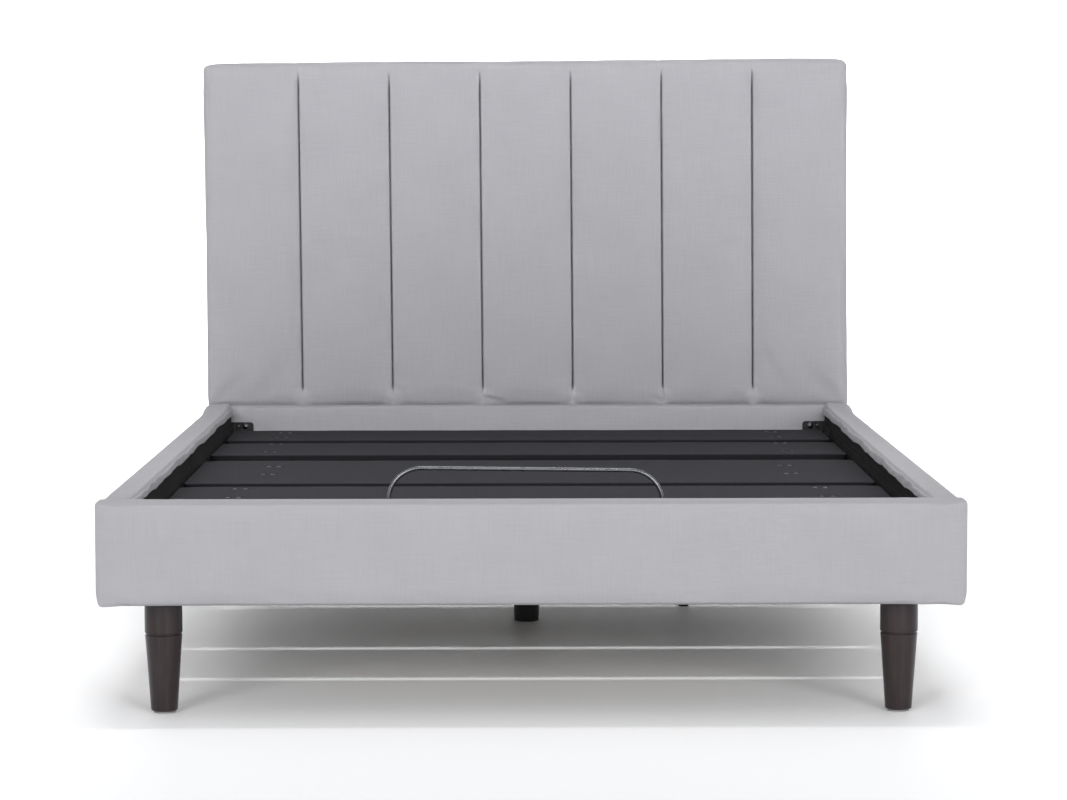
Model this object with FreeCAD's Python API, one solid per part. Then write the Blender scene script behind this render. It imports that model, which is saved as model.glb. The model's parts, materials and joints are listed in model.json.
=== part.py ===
"""Queen-size upholstered bed with a powered five-section adjustable base inside it.

Millimetres. Origin: centre of the footprint on the floor. +X is the sleeper's right when facing
the headboard, +Y points to the headboard and +Z points up. Every piece is a STEP file in parts/.
"""
import FreeCAD, Part
import math
import os

Vec = FreeCAD.Vector

# ---- bedstead ----
BED_WIDTH = 1672.0
BED_LENGTH = 2240.0
HEADBOARD_TOP = 1312.0
HEADBOARD_DEPTH = 100.0
RAIL_DEPTH = 60.0
SIDE_RAIL_DEPTH = 66.0
RAIL_BOTTOM = 220.0
RAIL_TOP = 422.0
HEAD_RAIL_DEPTH = 35.0
FLAP_BOTTOM = 404.0
LINING = 2.0
CORE = 24.0
CORE_MARGIN = 12.0
CHANNELS = 7
CHANNEL_PITCH = 234.5
SEAM_HALF_W = 10.0
SEAM_DEPTH = 28.0
SEAM_LOW = 461.0
SEAM_TOP_GAP = 42.0

HALF_W = BED_WIDTH / 2
HALF_L = BED_LENGTH / 2
BAY_HALF_W = HALF_W - SIDE_RAIL_DEPTH
BAY_FOOT = -HALF_L + RAIL_DEPTH
HEADBOARD_FACE = HALF_L - HEADBOARD_DEPTH
BAY_HEAD = HEADBOARD_FACE - HEAD_RAIL_DEPTH

# ---- wooden legs ----
LEG_X = 714.0
LEG_Y_FOOT = -1020.0
LEG_Y_HEAD = 930.0
LEG_TOP_R = 36.5
LEG_FOOT_R = 25.8
LEG_COLLAR = 64.0
GLIDE = 4.0
PLATE = 4.0
BLOCK = 44.0
BOLT_R = 4.0

# ---- corner brackets ----
BRACKET_ARM = 58.0
BRACKET_T = 6.0
BRACKET_LOW = 338.0
BRACKET_HIGH = 381.0
BRACKET_SIDE = 112.0
BRACKET_BOLT_X = (732.0, 751.0)
BRACKET_BOLT_Z = 370.0
SIDE_BOLT_Y = 86.0
SIDE_BOLT_Z = 353.0
BOLT_DOME = 4.0

# ---- mattress deck ----
DECK_TOP = 363.0
DECK_HALF_W = 758.0
BOARD_T = 12.0
COVER_T = 6.0
COVER_SIDE = 4.0
DECK_CORNER_R = 28.0
SECTIONS = {"pillow": (687.0, 974.0), "back": (304.0, 659.0), "seat": (-271.0, 244.0),
            "thigh": (-626.0, -299.0), "calf": (-1048.0, -654.0)}
SCREW_X = {"pillow": (611.0, 634.0), "back": (611.0, 634.0), "seat": (575.0, 598.0),
           "thigh": (611.0, 634.0), "calf": (575.0, 598.0)}
SCREW_ROWS = {"pillow": (766.0, 888.0), "back": (412.0, 600.0), "seat": (-86.0, 80.0),
              "thigh": (-530.0, -370.0), "calf": (-960.0, -740.0)}
SCREW_R = 3.0
SCREW_HEAD_R = 8.0
SCREW_HEAD_GAP = 0.5
SCREW_DOME = 4.6
SCREW_SINK = 4.8
SCREW_SEAT = DECK_TOP - SCREW_SINK
BOARD_BOTTOM = DECK_TOP - COVER_T - BOARD_T

# ---- steel frames of the sections ----
TUBE = 28.0
SIDE_TUBE_IN = 545.0
SIDE_TUBE_OUT = 605.0
WIDE_FRAMES = ("pillow", "back", "thigh")
WIDE_SHIFT = 40.0
WALL = 2.0
FRAME_BOTTOM = BOARD_BOTTOM - TUBE
FRAMES = {"pillow": (705.0, 950.0), "back": (320.0, 655.0), "seat": (-265.0, 265.0),
          "thigh": (-610.0, -320.0), "calf": (-1040.0, -665.0)}

# ---- hinges ----
HINGE_Z = 330.0
BACK_HINGE_Y = 292.5
PILLOW_HINGE_Y = 684.5
THIGH_HINGE_Y = -292.5
KNEE_HINGE_Y = -637.5
LUG_T = 6.0
LUG_R = 13.0
PIN_R = 6.0
RUN_FIT = 0.05
LUG_A_X = 570.0
LUG_B_X = 578.0

# ---- base frame ----
BASE_TOP = 312.0
BASE_TUBE_H = 40.0
BASE_TUBE_W = 30.0
BASE_SIDE_IN = 612.0
BASE_FOOT = -1035.0
BASE_HEAD = 960.0
CROSS_Y = {"foot": -1035.0, "thigh": -480.0, "fore_mid": -75.0, "rear_mid": 95.0,
           "pillow": 750.0, "head": 930.0}
BASE_BOTTOM = BASE_TOP - BASE_TUBE_H
BASE_SIDE_OUT = BASE_SIDE_IN + BASE_TUBE_W
LEDGE = 30.0

# ---- support legs under the base ----
SUPPORTS = ((-7.0, 110.0, 29.0), (368.0, 316.0, 13.0))
SUPPORT_FOOT = 12.0

# ---- mattress retainer bar ----
BAR_R = 4.0
BAR_CENTRE_X = -11.0
BAR_HALF_W = 265.0
BAR_Y = -1026.0
BAR_TOP = 476.5
BAR_DROP = 5.0
BAR_BEND = 64.0

# ---- foot rollers ----
ROLLER_Y = -1025.0
ROLLER_Z = 326.3
ROLLER_R = 14.0
AXLE_R = 5.0

# ---- actuators: lever radius, lever angle at rest, slot ends, half slot, rod pin and rear pin ----
BACK_ACT = {"x": 91.0, "hinge": BACK_HINGE_Y, "rest": -30.0, "slot": (82.0, 94.7), "half": 7.4,
            "end_r": 20.0, "pin_y": 246.22, "rear_y": -60.0, "z": 247.73, "way": 1.0}
LEG_ACT = {"x": -91.0, "hinge": THIGH_HINGE_Y, "rest": -17.5, "slot": (80.8, 85.2), "half": 6.8,
           "end_r": 15.0, "pin_y": -267.15, "rear_y": 110.0, "z": 248.93, "way": -1.0}
PILLOW_ACT = {"x": 0.0, "hinge": PILLOW_HINGE_Y, "rest": -15.0, "slot": (55.7, 58.3), "half": 6.5,
              "end_r": 13.0, "pin_y": 669.58, "rear_y": 425.0, "z": 273.98, "way": 1.0}
LEVER_HALF = 4.0
EAR_IN = 5.0
EAR_OUT = 14.0


def block(x0, x1, y0, y1, z0, z1):
    """A box between two corners, given in any order."""
    low = Vec(min(x0, x1), min(y0, y1), min(z0, z1))
    return Part.makeBox(abs(x1 - x0), abs(y1 - y0), abs(z1 - z0), low)


def post(x, y, z0, z1, radius):
    """An upright cylinder."""
    return Part.makeCylinder(radius, z1 - z0, Vec(x, y, z0))


def rod_x(x0, x1, y, z, radius):
    """A cylinder along X."""
    return Part.makeCylinder(radius, abs(x1 - x0), Vec(min(x0, x1), y, z), Vec(1, 0, 0))


def rod_y(x, y0, y1, z, radius):
    """A cylinder along Y."""
    return Part.makeCylinder(radius, abs(y1 - y0), Vec(x, min(y0, y1), z), Vec(0, 1, 0))


def fillet_where(shape, radius, wanted):
    """Rounds the edges whose middle point passes the test."""
    edges = [edge for edge in shape.Edges if wanted(edge.CenterOfMass)]
    return shape.makeFillet(radius, edges)


def near(value, target):
    """True when two lengths agree to a hundredth of a millimetre."""
    return abs(value - target) < 0.01


def mirror_x(shape):
    """The same piece on the other side of the bed."""
    return shape.mirror(Vec(0, 0, 0), Vec(1, 0, 0))


def group(pieces):
    """Several separate solids that share one node."""
    return Part.makeCompound(pieces)


def tube_along_y(x0, x1, y0, y1, z0, z1):
    """A hollow rectangular steel tube along Y."""
    inner = block(x0 + WALL, x1 - WALL, y0 - 1, y1 + 1, z0 + WALL, z1 - WALL)
    return block(x0, x1, y0, y1, z0, z1).cut(inner)


def tube_along_x(x0, x1, y0, y1, z0, z1):
    """A hollow rectangular steel tube along X."""
    inner = block(x0 - 1, x1 + 1, y0 + WALL, y1 - WALL, z0 + WALL, z1 - WALL)
    return block(x0, x1, y0, y1, z0, z1).cut(inner)


def domed_head(radius, height):
    """Round bolt head with a domed top, standing on the floor plane over the origin."""
    ball_r = (radius ** 2 + height ** 2) / (2 * height)
    ball = Part.makeSphere(ball_r, Vec(0, 0, height - ball_r))
    return ball.common(post(0, 0, 0, height + 1, radius))


# ---------------------------------------------------------------- bedstead

def headboard_core():
    """The board that the headboard's padding is stapled to."""
    return block(-HALF_W + 18, HALF_W - 18, HALF_L - 35, HALF_L - 35 + CORE,
                 RAIL_BOTTOM + CORE_MARGIN, HEADBOARD_TOP - 17)


def headboard_upholstery():
    """Foam and fabric over the headboard, sewn into upright channels."""
    back = HALF_L - LINING
    body = block(-HALF_W, HALF_W, HEADBOARD_FACE, back, RAIL_BOTTOM, HEADBOARD_TOP)
    body = fillet_where(body, 30.0, lambda p: near(abs(p.x), HALF_W) and near(p.z, HEADBOARD_TOP))
    body = fillet_where(body, 22.0, lambda p: near(p.y, HEADBOARD_FACE) and p.z > RAIL_BOTTOM + 1)
    for seam in range(1, CHANNELS):
        x = (seam - CHANNELS / 2) * CHANNEL_PITCH
        corners = [Vec(x - SEAM_HALF_W, HEADBOARD_FACE - 1, SEAM_LOW),
                   Vec(x + SEAM_HALF_W, HEADBOARD_FACE - 1, SEAM_LOW),
                   Vec(x, HEADBOARD_FACE + SEAM_DEPTH, SEAM_LOW)]
        groove = Part.Face(Part.makePolygon(corners + corners[:1]))
        groove = groove.extrude(Vec(0, 0, HEADBOARD_TOP - SEAM_TOP_GAP - SEAM_LOW))
        body = body.cut(groove)
    return body.cut(headboard_core())


def headboard_dust_cover():
    """Thin cloth that closes the headboard's back."""
    return block(-HALF_W + 12, HALF_W - 12, HALF_L - LINING, HALF_L, RAIL_BOTTOM + 10,
                 HEADBOARD_TOP - 14)


def front_board_core():
    """Wooden board inside the front board."""
    middle = -HALF_L + RAIL_DEPTH / 2
    return block(-HALF_W + 18, HALF_W - 18, middle - CORE / 2, middle + CORE / 2,
                 RAIL_BOTTOM + CORE_MARGIN, RAIL_TOP - CORE_MARGIN)


def front_board_upholstery():
    """Padding round the front board, with the turned-in fabric edge on its inner face."""
    body = block(-HALF_W, HALF_W, -HALF_L, BAY_FOOT, RAIL_BOTTOM, RAIL_TOP)
    body = fillet_where(body, 20.0, lambda p: near(abs(p.x), HALF_W) and near(p.y, -HALF_L))
    body = fillet_where(body, 12.0, lambda p: near(p.z, RAIL_TOP) and p.y < BAY_FOOT - 1)
    recess = block(-BAY_HALF_W, BAY_HALF_W, BAY_FOOT - LINING, BAY_FOOT + 1, RAIL_BOTTOM - 1,
                   FLAP_BOTTOM)
    return body.cut(recess).cut(front_board_core())


def side_rail_core():
    """Wooden board inside the right-hand side rail."""
    middle = HALF_W - SIDE_RAIL_DEPTH / 2
    return block(middle - CORE / 2, middle + CORE / 2, BAY_FOOT, HEADBOARD_FACE,
                 RAIL_BOTTOM + CORE_MARGIN, RAIL_TOP - CORE_MARGIN)


def side_rail_upholstery():
    """Padding round the right-hand side rail."""
    body = block(BAY_HALF_W, HALF_W, BAY_FOOT, HEADBOARD_FACE, RAIL_BOTTOM, RAIL_TOP)
    body = fillet_where(body, 12.0, lambda p: near(p.z, RAIL_TOP) and near(p.y, 0.5 * (
        BAY_FOOT + HEADBOARD_FACE)))
    body = fillet_where(body, 8.0, lambda p: near(p.z, RAIL_BOTTOM) and near(p.x, HALF_W))
    recess = block(BAY_HALF_W - 1, BAY_HALF_W + LINING, BAY_FOOT, BAY_HEAD, RAIL_BOTTOM - 1,
                   FLAP_BOTTOM)
    return body.cut(recess).cut(side_rail_core())


def rail_linings():
    """Black cloth on the inner faces of the side rails and the front board."""
    side = block(BAY_HALF_W, BAY_HALF_W + LINING, BAY_FOOT, BAY_HEAD, RAIL_BOTTOM, FLAP_BOTTOM)
    front = block(-BAY_HALF_W, BAY_HALF_W, BAY_FOOT - LINING, BAY_FOOT, RAIL_BOTTOM, FLAP_BOTTOM)
    return group([side, mirror_x(side), front])


def head_rail_core():
    """Wooden board inside the rail across the head end."""
    return block(-BAY_HALF_W, BAY_HALF_W, BAY_HEAD + 9, BAY_HEAD + 27,
                 RAIL_BOTTOM + CORE_MARGIN, RAIL_TOP - CORE_MARGIN)


def head_rail_upholstery():
    """Fabric round the head rail."""
    body = block(-BAY_HALF_W, BAY_HALF_W, BAY_HEAD, HEADBOARD_FACE, RAIL_BOTTOM, RAIL_TOP)
    body = fillet_where(body, 8.0, lambda p: near(p.z, RAIL_TOP) and near(p.y, BAY_HEAD))
    return body.cut(head_rail_core())


def leg_places():
    """Centres of the four wooden legs."""
    return [(side * LEG_X, y) for y in (LEG_Y_FOOT, LEG_Y_HEAD) for side in (-1, 1)]


def wooden_leg(x, y):
    """Round tapered leg: straight collar, a thin turned groove, then a taper to the floor."""
    collar = RAIL_BOTTOM - LEG_COLLAR
    points = [(0, GLIDE), (LEG_FOOT_R - 2, GLIDE), (LEG_FOOT_R, GLIDE + 2),
              (LEG_TOP_R - 0.6, collar - 3), (LEG_TOP_R - 2.4, collar - 2),
              (LEG_TOP_R - 2.4, collar), (LEG_TOP_R, collar + 1.5), (LEG_TOP_R, RAIL_BOTTOM),
              (0, RAIL_BOTTOM)]
    outline = [Vec(r, 0, z) for r, z in points]
    leg = Part.Face(Part.makePolygon(outline + outline[:1])).revolve(Vec(0, 0, 0), Vec(0, 0, 1), 360)
    leg.translate(Vec(x, y, 0))
    return leg.cut(post(x, y, RAIL_BOTTOM - 30, RAIL_BOTTOM + 1, BOLT_R))


def leg_glides():
    """Hard plastic glides under the wooden legs."""
    return group([post(x, y, 0, GLIDE, LEG_FOOT_R - 5) for x, y in leg_places()])


def leg_fixings():
    """Steel plate and threaded bolt over each leg."""
    pieces = []
    for x, y in leg_places():
        plate = block(x - 42, x + 42, y - 38, y + 38, RAIL_BOTTOM, RAIL_BOTTOM + PLATE)
        bolt = post(x, y, RAIL_BOTTOM - 30, RAIL_BOTTOM + PLATE + 20, BOLT_R)
        pieces.append(plate.cut(bolt))
        pieces.append(bolt)
    return group(pieces)


def corner_blocks():
    """Wooden blocks in the corners of the bay that carry the legs and the base frame."""
    pieces = []
    low = RAIL_BOTTOM + PLATE
    for x, y in leg_places():
        end = BAY_FOOT if y < 0 else BAY_HEAD
        far = end + 95 if y < 0 else end - 95
        wood = block(math.copysign(BAY_HALF_W, x), math.copysign(BAY_HALF_W - 100, x), end, far, low,
                     low + BLOCK)
        pieces.append(wood.cut(post(x, y, low - 1, low + 20, BOLT_R)))
    return group(pieces)


def rail_ledges():
    """Battens on the side rails that the base frame rests on."""
    side = block(BAY_HALF_W - LEDGE, BAY_HALF_W, BAY_FOOT + 100, BAY_HEAD - 100,
                 BASE_BOTTOM - LEDGE, BASE_BOTTOM)
    return group([side, mirror_x(side)])


def corner_bracket():
    """Steel angle in the right-hand corner at the head end, level with the deck."""
    arm = block(BAY_HALF_W - BRACKET_ARM, BAY_HALF_W, BAY_HEAD - BRACKET_T, BAY_HEAD, BRACKET_LOW,
                BRACKET_HIGH)
    arm = fillet_where(arm, 8.0, lambda p: near(p.x, BAY_HALF_W - BRACKET_ARM) and near(
        p.y, BAY_HEAD - BRACKET_T / 2))
    arm = arm.fuse(block(BAY_HALF_W - BRACKET_T, BAY_HALF_W, BAY_HEAD - BRACKET_SIDE, BAY_HEAD,
                         BRACKET_LOW, BRACKET_HIGH - 8))
    for x in BRACKET_BOLT_X:
        arm = arm.cut(rod_y(x, BAY_HEAD - BRACKET_T - 1, BAY_HEAD + 1, BRACKET_BOLT_Z, BOLT_R))
    side_hole = rod_x(BAY_HALF_W - BRACKET_T - 1, BAY_HALF_W + 1, BAY_HEAD - SIDE_BOLT_Y,
                      SIDE_BOLT_Z, BOLT_R)
    return arm.cut(side_hole).removeSplitter()


def bracket_bolts():
    """Round-headed bolts in both corner brackets."""
    face = BAY_HEAD - BRACKET_T
    pieces = []
    for x, head_r in zip(BRACKET_BOLT_X, (8.0, 4.8)):
        head = domed_head(head_r, BOLT_DOME)
        head.rotate(Vec(0, 0, 0), Vec(1, 0, 0), 90)
        head.translate(Vec(x, face, BRACKET_BOLT_Z))
        shank = rod_y(x, face, BAY_HEAD, BRACKET_BOLT_Z, BOLT_R)
        pieces.append(head.fuse(shank).removeSplitter())
    side_y = BAY_HEAD - SIDE_BOLT_Y
    head = domed_head(6.5, BOLT_DOME)
    head.rotate(Vec(0, 0, 0), Vec(0, 1, 0), -90)
    head.translate(Vec(BAY_HALF_W - BRACKET_T, side_y, SIDE_BOLT_Z))
    shank = rod_x(BAY_HALF_W - BRACKET_T, BAY_HALF_W, side_y, SIDE_BOLT_Z, BOLT_R)
    pieces.append(head.fuse(shank).removeSplitter())
    return group(pieces + [mirror_x(piece) for piece in pieces])


# ---------------------------------------------------------------- deck sections

def screw_places(name):
    """Screw centres of one section: two rows, two screws on each side."""
    return [(side * x, y) for y in SCREW_ROWS[name] for x in SCREW_X[name] for side in (-1, 1)]


def rounded_slab(half_w, foot, head, low, high, corner):
    """A flat slab with rounded corners in plan."""
    slab = block(-half_w, half_w, foot, head, low, high)
    middle = (low + high) / 2
    return fillet_where(slab, corner, lambda p: near(p.z, middle))


def bar_places():
    """Where the retainer bar's two legs stand."""
    return [(BAR_CENTRE_X + side * BAR_HALF_W, BAR_Y) for side in (-1, 1)]


def section_board(name):
    """Plywood board of one section."""
    foot, head = SECTIONS[name]
    board = rounded_slab(DECK_HALF_W - COVER_SIDE, foot + COVER_SIDE, head - COVER_SIDE, BOARD_BOTTOM,
                         BOARD_BOTTOM + BOARD_T, DECK_CORNER_R - COVER_SIDE)
    holes = [post(x, y, BOARD_BOTTOM - 1, DECK_TOP, SCREW_R) for x, y in screw_places(name)]
    if name == "calf":
        holes += [post(x, y, BOARD_BOTTOM - 1, DECK_TOP, BAR_R + 0.6) for x, y in bar_places()]
    return board.cut(Part.makeCompound(holes))


def section_cover(name):
    """Padded cloth cover over the top and edges of one board."""
    foot, head = SECTIONS[name]
    cover = rounded_slab(DECK_HALF_W, foot, head, BOARD_BOTTOM, DECK_TOP, DECK_CORNER_R)
    cover = fillet_where(cover, 5.0, lambda p: near(p.z, DECK_TOP))
    hollow = rounded_slab(DECK_HALF_W - COVER_SIDE, foot + COVER_SIDE, head - COVER_SIDE,
                          BOARD_BOTTOM - 1, BOARD_BOTTOM + BOARD_T, DECK_CORNER_R - COVER_SIDE)
    holes = []
    for x, y in screw_places(name):
        holes.append(post(x, y, BOARD_BOTTOM + BOARD_T - 1, DECK_TOP, SCREW_R))
        holes.append(post(x, y, SCREW_SEAT, DECK_TOP + 1, SCREW_HEAD_R + SCREW_HEAD_GAP))
    if name == "calf":
        holes += [post(x, y, BOARD_BOTTOM, DECK_TOP + 1, BAR_R + 0.6) for x, y in bar_places()]
    return cover.cut(hollow).cut(Part.makeCompound(holes))


def section_screws(name):
    """Dome-head bolts, sunk into the cover, that hold it and the board to the frame."""
    pieces = []
    for x, y in screw_places(name):
        shank = post(x, y, BOARD_BOTTOM - 12, SCREW_SEAT, SCREW_R)
        head = domed_head(SCREW_HEAD_R, SCREW_DOME)
        head.translate(Vec(x, y, SCREW_SEAT))
        pieces.append(shank.fuse(head).removeSplitter())
    return group(pieces)


def lug(x, hinge_y, root_y, hole_r):
    """Hinge plate standing out from a tube's end, rounded about the hinge axis."""
    plate = block(x, x + LUG_T, hinge_y, root_y, HINGE_Z - LUG_R, HINGE_Z + LUG_R)
    plate = plate.fuse(rod_x(x, x + LUG_T, hinge_y, HINGE_Z, LUG_R)).removeSplitter()
    return plate.cut(rod_x(x - 1, x + LUG_T + 1, hinge_y, HINGE_Z, hole_r))


def lug_pair(x, hinge_y, root_y, hole_r):
    """The same hinge plate on both sides of the bed."""
    right = lug(x, hinge_y, root_y, hole_r)
    return [right, mirror_x(right)]


def hinge_pins(hinge_y):
    """Headed pins, one on each side, fixed in the A plates and turning in the B plates."""
    shaft = rod_x(LUG_A_X - 0.1, LUG_B_X + LUG_T + 0.3, hinge_y, HINGE_Z, PIN_R)
    outer = rod_x(LUG_B_X + LUG_T + 0.3, LUG_B_X + LUG_T + 5, hinge_y, HINGE_Z, 9.0)
    inner = rod_x(LUG_A_X - 4, LUG_A_X - 0.1, hinge_y, HINGE_Z, 9.0)
    pin = shaft.fuse([outer, inner]).removeSplitter()
    return [pin, mirror_x(pin)]


def frame_tubes(name, extra_cross=()):
    """Two flat side tubes and the cross tubes between them, drilled for the board's screws."""
    foot, head = FRAMES[name]
    top = BOARD_BOTTOM
    shift = WIDE_SHIFT if name in WIDE_FRAMES else 0.0
    inside = SIDE_TUBE_IN + shift
    side = tube_along_y(inside, SIDE_TUBE_OUT + shift, foot, head, FRAME_BOTTOM, top)
    tubes = [side, mirror_x(side)]
    for y in (foot, head - TUBE) + tuple(extra_cross):
        tubes.append(tube_along_x(-inside, inside, y, y + TUBE, FRAME_BOTTOM, top))
    holes = Part.makeCompound([post(x, y, top - 8, top + 1, SCREW_R) for x, y in screw_places(name)])
    return [tubes[0].cut(holes), tubes[1].cut(holes)] + tubes[2:]


def lever(act, root_near, root_far):
    """Drive lever under a frame: a plate with a slot near its end that the rod's pin rides in."""
    way = act["way"]
    angle = math.radians(act["rest"])
    reach = Vec(0, way * math.sin(angle), -math.cos(angle))
    across = Vec(0, way * math.cos(angle), math.sin(angle))
    hinge = Vec(act["x"] - LEVER_HALF, act["hinge"], HINGE_Z)
    low, high = act["slot"]
    centre = hinge + reach * ((low + high) / 2)
    thick = Vec(2 * LEVER_HALF, 0, 0)
    left = hinge.x
    corners = [Vec(left, root_near, FRAME_BOTTOM), Vec(left, root_far, FRAME_BOTTOM),
               centre + across * (act["end_r"] - 2), centre - across * (act["end_r"] - 2)]
    plate = Part.Face(Part.makePolygon(corners + corners[:1])).extrude(thick)
    plate = plate.fuse(rod_x(left, left + thick.x, centre.y, centre.z, act["end_r"]))
    slot = rod_x(left - 1, left + thick.x + 1, (hinge + reach * low).y, (hinge + reach * low).z,
                 act["half"])
    far_end = hinge + reach * high
    slot = slot.fuse(rod_x(left - 1, left + thick.x + 1, far_end.y, far_end.z, act["half"]))
    sides = [hinge + reach * low + across * act["half"], hinge + reach * high + across * act["half"],
             hinge + reach * high - across * act["half"], hinge + reach * low - across * act["half"]]
    window = Part.Face(Part.makePolygon(sides + sides[:1])).extrude(thick + Vec(2, 0, 0))
    window.translate(Vec(-1, 0, 0))
    return plate.removeSplitter().cut(slot.fuse(window))


def pillow_frame():
    """Frame of the pillow section, with its hinge plates and drive lever."""
    pieces = frame_tubes("pillow")
    pieces += lug_pair(LUG_B_X, PILLOW_HINGE_Y, FRAMES["pillow"][0], PIN_R + RUN_FIT)
    root = FRAMES["pillow"][0]
    return group(pieces + [lever(PILLOW_ACT, root + 2, root + TUBE - 2)])


def back_frame():
    """Frame of the back section, hinged to the seat and carrying the pillow hinge."""
    foot, head = FRAMES["back"]
    mount = PILLOW_ACT["rear_y"] - TUBE / 2
    pieces = frame_tubes("back", (mount,))
    pieces += lug_pair(LUG_B_X, BACK_HINGE_Y, foot, PIN_R + RUN_FIT)
    pieces += lug_pair(LUG_A_X, PILLOW_HINGE_Y, head, PIN_R)
    return group(pieces + [lever(BACK_ACT, foot + 2, foot + TUBE - 2)])


def seat_frame():
    """Fixed frame in the middle, with hinge plates at both ends and spacers under it."""
    foot, head = FRAMES["seat"]
    pieces = frame_tubes("seat")
    pieces += lug_pair(LUG_A_X, BACK_HINGE_Y, head, PIN_R)
    pieces += lug_pair(LUG_A_X, THIGH_HINGE_Y, foot, PIN_R)
    for y in (CROSS_Y["fore_mid"], CROSS_Y["rear_mid"]):
        spacer = block(SIDE_TUBE_IN, SIDE_TUBE_OUT, y, y + BASE_TUBE_W, BASE_TOP, FRAME_BOTTOM)
        pieces += [spacer, mirror_x(spacer)]
    return group(pieces)


def thigh_frame():
    """Frame of the thigh section, hinged to the seat and carrying the knee hinge."""
    foot, head = FRAMES["thigh"]
    pieces = frame_tubes("thigh")
    pieces += lug_pair(LUG_B_X, THIGH_HINGE_Y, head, PIN_R + RUN_FIT)
    pieces += lug_pair(LUG_A_X, KNEE_HINGE_Y, foot, PIN_R)
    return group(pieces + [lever(LEG_ACT, head - 2, head - TUBE + 2)])


def calf_frame():
    """Frame of the calf section, with the stub axles of the foot rollers."""
    tubes = frame_tubes("calf")
    sockets = [post(x, y, BOARD_BOTTOM - 14, BOARD_BOTTOM + 1, BAR_R) for x, y in bar_places()]
    tubes[2] = tubes[2].cut(Part.makeCompound(sockets))
    pieces = tubes + lug_pair(LUG_B_X, KNEE_HINGE_Y, FRAMES["calf"][1], PIN_R + RUN_FIT)
    collar = rod_x(SIDE_TUBE_OUT, BASE_SIDE_IN + 1.7, ROLLER_Y, ROLLER_Z, 8.0)
    shaft = rod_x(SIDE_TUBE_OUT, BASE_SIDE_OUT + 1, ROLLER_Y, ROLLER_Z, AXLE_R)
    head = rod_x(BASE_SIDE_OUT - 1.7, BASE_SIDE_OUT + 1, ROLLER_Y, ROLLER_Z, 8.0)
    axle = collar.fuse([shaft, head]).removeSplitter()
    return group(pieces + [axle, mirror_x(axle)])


def foot_rollers():
    """Nylon rollers that run on the base frame's side tubes."""
    wheel = rod_x(BASE_SIDE_IN + 2, BASE_SIDE_OUT - 2, ROLLER_Y, ROLLER_Z, ROLLER_R)
    wheel = wheel.makeFillet(1.5, [edge for edge in wheel.Edges if len(edge.Vertexes) == 1])
    wheel = wheel.cut(rod_x(BASE_SIDE_IN, BASE_SIDE_OUT, ROLLER_Y, ROLLER_Z, AXLE_R + RUN_FIT))
    return group([wheel, mirror_x(wheel)])


def retainer_bar():
    """Bent steel bar that keeps the mattress from sliding off the foot end, a little lower right."""
    left = BAR_CENTRE_X - BAR_HALF_W
    right = BAR_CENTRE_X + BAR_HALF_W
    low = BOARD_BOTTOM - 14
    slope = math.atan(BAR_DROP / (2 * (BAR_HALF_W - BAR_BEND)))

    def at(x, z):
        return Vec(x, BAR_Y, z)

    def on_bend(centre, angle):
        return centre + Vec(BAR_BEND * math.sin(angle), 0, BAR_BEND * math.cos(angle))

    left_centre = at(left + BAR_BEND, BAR_TOP - BAR_BEND)
    right_centre = at(right - BAR_BEND, BAR_TOP - BAR_DROP - BAR_BEND)
    foot_l = at(left, left_centre.z)
    foot_r = at(right, right_centre.z)
    top_l = on_bend(left_centre, slope)
    top_r = on_bend(right_centre, slope)
    path = Part.Wire([
        Part.LineSegment(at(left, low), foot_l).toShape(),
        Part.Arc(foot_l, on_bend(left_centre, (slope - math.pi / 2) / 2), top_l).toShape(),
        Part.LineSegment(top_l, top_r).toShape(),
        Part.Arc(top_r, on_bend(right_centre, (slope + math.pi / 2) / 2), foot_r).toShape(),
        Part.LineSegment(foot_r, at(right, low)).toShape()])
    profile = Part.Wire([Part.Circle(at(left, low), Vec(0, 0, 1), BAR_R).toShape()])
    return path.makePipeShell([profile], True, True)


# ---------------------------------------------------------------- base frame

def base_side_tube():
    """Long tube on the right-hand side, also the track of a foot roller."""
    return tube_along_y(BASE_SIDE_IN, BASE_SIDE_OUT, BASE_FOOT, BASE_HEAD, BASE_BOTTOM, BASE_TOP)


def base_cross_tubes():
    """Tubes between the side tubes, stubs that rest on the ledges, and the support leg's arm."""
    pieces = []
    for name, y in CROSS_Y.items():
        pieces.append(tube_along_x(-BASE_SIDE_IN, BASE_SIDE_IN, y, y + BASE_TUBE_W, BASE_BOTTOM,
                                   BASE_TOP))
        stub = tube_along_x(BASE_SIDE_OUT, BAY_HALF_W - 4, y, y + BASE_TUBE_W, BASE_BOTTOM, BASE_TOP)
        pieces += [stub, mirror_x(stub)]
    x, y, radius = SUPPORTS[1]
    pieces.append(tube_along_x(x - 30, BASE_SIDE_IN, y - 15, y + 15, BASE_BOTTOM, BASE_TOP))
    return group(pieces)


def support_legs():
    """Black tapered legs under the base frame: a thick one in the middle and a thin one aside."""
    pieces = []
    for x, y, radius in SUPPORTS:
        shaft = Part.makeCone(radius, radius + 2, BASE_BOTTOM - 6 - SUPPORT_FOOT,
                              Vec(x, y, SUPPORT_FOOT))
        plate = block(x - 28, x + 28, y - 15, y + 15, BASE_BOTTOM - 6, BASE_BOTTOM)
        pieces.append(shaft.fuse(plate))
    return group(pieces)


def rubber_pads():
    """Rubber feet of the support legs, and pads that the pillow section lies on when it is flat."""
    feet = [post(x, y, 0, SUPPORT_FOOT, radius - 1) for x, y, radius in SUPPORTS]
    y = CROSS_Y["head"] + 10
    pads = [block(x - 8, x + 8, y - 8, y + 8, BASE_TOP, FRAME_BOTTOM - 0.3) for x in (-598, 598)]
    return group(feet + pads)


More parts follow.
